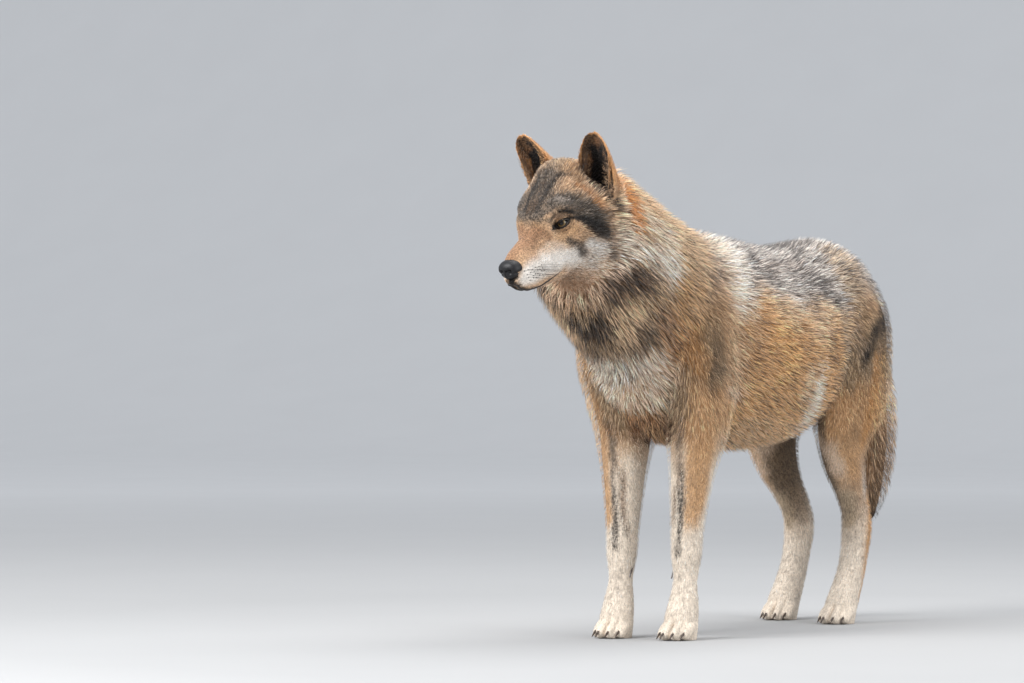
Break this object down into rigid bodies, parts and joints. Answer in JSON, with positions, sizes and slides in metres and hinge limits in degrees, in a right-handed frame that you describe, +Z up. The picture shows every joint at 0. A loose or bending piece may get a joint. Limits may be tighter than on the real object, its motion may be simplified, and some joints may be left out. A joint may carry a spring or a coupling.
{
  "type": "timber wolf model",
  "caption": "Life-size still model of an adult timber wolf in winter coat, standing alert with its head turned, built from an outline of each body part.",
  "frame": {"origin": "on the floor, at the middle of the model's box in plan, between the four feet", "axes": "+Z up, -Y the way the body faces, +X the wolf's left side"},
  "size_m": [0.34, 1.4694, 0.953],
  "materials": {
    "coat_fawn": "soft matt fur",
    "coat_silver": "soft matt fur",
    "coat_cream": "soft matt fur",
    "coat_ochre": "soft matt fur",
    "coat_rust": "soft matt fur",
    "nose_pad": "damp, pebbled and slightly glossy",
    "eye": "wet and glossy",
    "claw": "worn horn, satin"
  },
  "bodies": {
    "root": {"head": "coat_fawn", "lower_jaw": "coat_cream", "nose": "nose_pad", "eye_left": "eye", "eye_right": "eye", "ear_left": "coat_rust", "ear_right": "coat_rust", "neck": "coat_fawn", "trunk": "coat_silver", "tail": "coat_ochre", "foreleg_left_shoulder": "coat_ochre", "foreleg_left_forearm": "coat_fawn", "foreleg_left_paw": "coat_cream", "foreleg_left_claw_inner": "claw", "foreleg_left_claw_second": "claw", "foreleg_left_claw_third": "claw", "foreleg_left_claw_outer": "claw", "foreleg_right_shoulder": "coat_ochre", "foreleg_right_forearm": "coat_fawn", "foreleg_right_paw": "coat_cream", "foreleg_right_claw_inner": "claw", "foreleg_right_claw_second": "claw", "foreleg_right_claw_third": "claw", "foreleg_right_claw_outer": "claw", "hindleg_left_thigh": "coat_ochre", "hindleg_left_shank": "coat_fawn", "hindleg_left_paw": "coat_cream", "hindleg_left_claw_inner": "claw", "hindleg_left_claw_second": "claw", "hindleg_left_claw_third": "claw", "hindleg_left_claw_outer": "claw", "hindleg_right_thigh": "coat_ochre", "hindleg_right_shank": "coat_fawn", "hindleg_right_paw": "coat_cream", "hindleg_right_claw_inner": "claw", "hindleg_right_claw_second": "claw", "hindleg_right_claw_third": "claw", "hindleg_right_claw_outer": "claw", "foreleg_left_dewclaw": "claw", "foreleg_right_dewclaw": "claw"}
  },
  "joints": []
}
